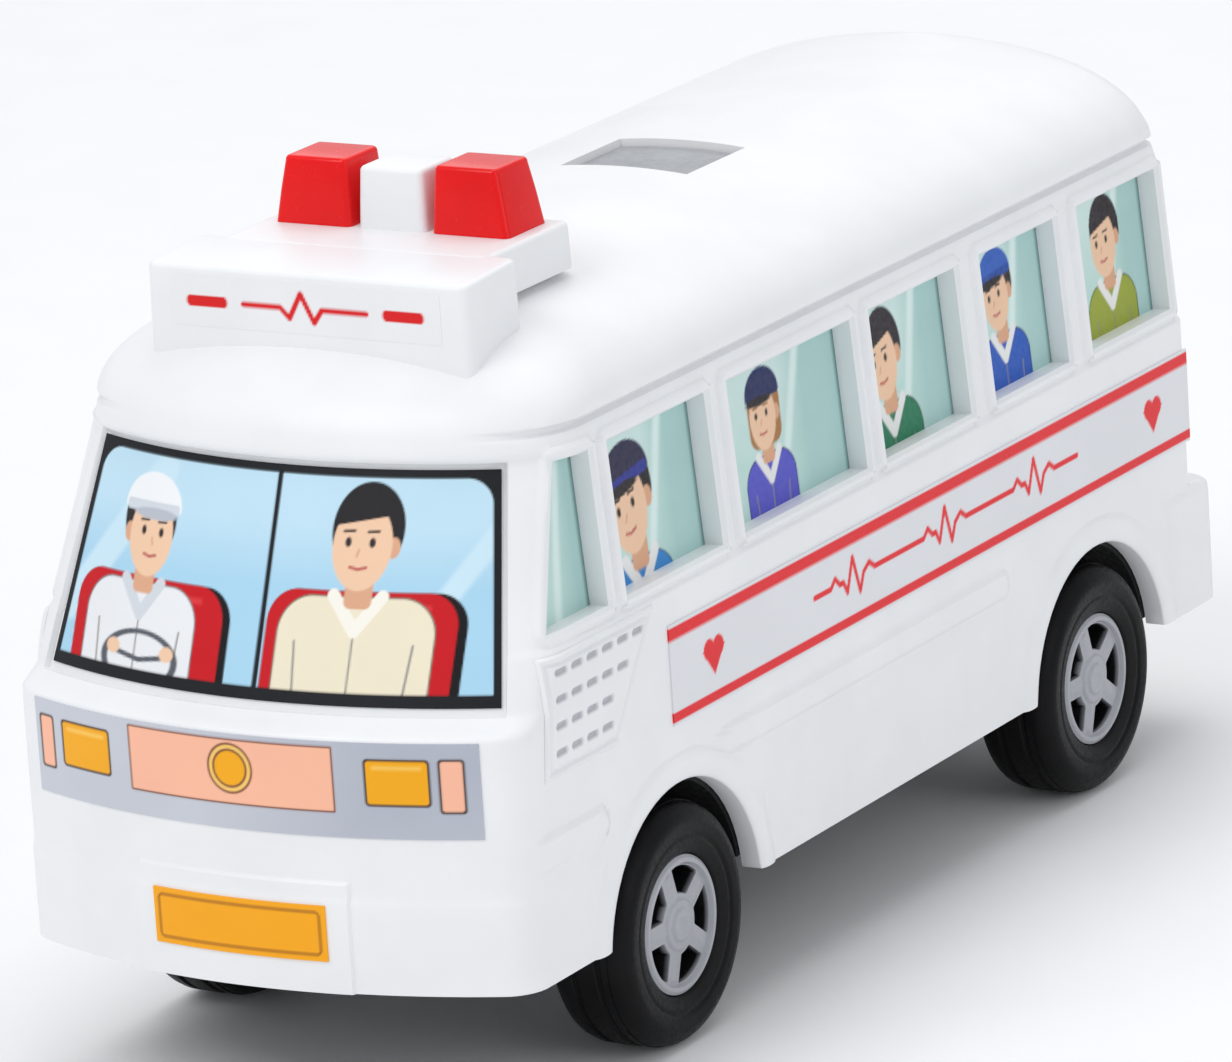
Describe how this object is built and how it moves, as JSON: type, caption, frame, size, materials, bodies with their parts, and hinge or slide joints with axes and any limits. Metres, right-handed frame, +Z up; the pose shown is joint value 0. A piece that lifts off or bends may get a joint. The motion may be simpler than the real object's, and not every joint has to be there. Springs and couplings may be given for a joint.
{
  "type": "toy ambulance",
  "caption": "Toy ambulance: white moulded body with roof light bar, printed labels and window cards, rolling wheels on steel axles and a geared pull-back motor at the rear axle.",
  "frame": {"origin": "on the ground under the middle of the vehicle", "axes": "+Z up, -Y forwards (the front bumper is at -Y), +X towards the vehicle's left side"},
  "size_m": [0.063, 0.1642, 0.0936],
  "materials": {
    "white_plastic": "glossy moulded white",
    "black_plastic": "fine moulded texture",
    "red_lamp": "glossy, slightly translucent",
    "grey_panel": "satin",
    "screen_print": "printed gloss film",
    "grille_print": "printed gloss film",
    "plate_print": "printed gloss film",
    "band_print": "printed gloss film",
    "lamp_print": "printed gloss film",
    "window_print": "printed card",
    "axle_steel": "drawn wire",
    "tyre": "satin black",
    "hub_plastic": "grey moulded",
    "motor_plastic": "moulded",
    "gear_plastic": "unpainted",
    "spring_steel": "blued strip",
    "screw_steel": "plated"
  },
  "bodies": {
    "body": {"body_shell": "white_plastic", "chassis": "black_plastic", "light_bar": "white_plastic", "beacon_left": "red_lamp", "beacon_right": "red_lamp", "hatch_panel": "grey_panel", "windscreen_label": "screen_print", "grille_label": "grille_print", "plate_front": "plate_print", "sign_label": "band_print", "side_label_left": "band_print", "side_label_right": "band_print", "window_card_left": "window_print", "window_card_right": "window_print", "rear_window_label": "screen_print", "plate_rear": "plate_print", "tail_lamp_left": "lamp_print", "tail_lamp_right": "lamp_print", "motor_case_left": "motor_plastic", "motor_case_right": "motor_plastic", "idler_gear": "gear_plastic", "idler_pin": "axle_steel", "spring_gear": "gear_plastic", "mainspring": "spring_steel", "chassis_screws": "screw_steel", "motor_screws": "screw_steel"},
    "front_wheelset": {"front_axle": "axle_steel", "front_tyre_left": "tyre", "front_tyre_right": "tyre", "front_hub_left": "hub_plastic", "front_hub_right": "hub_plastic"},
    "rear_wheelset": {"rear_axle": "axle_steel", "rear_tyre_left": "tyre", "rear_tyre_right": "tyre", "rear_hub_left": "hub_plastic", "rear_hub_right": "hub_plastic", "axle_pinion": "gear_plastic"}
  },
  "joints": [
    {"name": "front_axle_spin", "type": "hinge", "parent": "body", "child": "front_wheelset", "pos_m": [0, -0.04345, 0.0132], "axis": [1, 0, 0], "continuous": true},
    {"name": "rear_axle_spin", "type": "hinge", "parent": "body", "child": "rear_wheelset", "pos_m": [0, 0.05155, 0.0132], "axis": [1, 0, 0], "continuous": true}
  ]
}
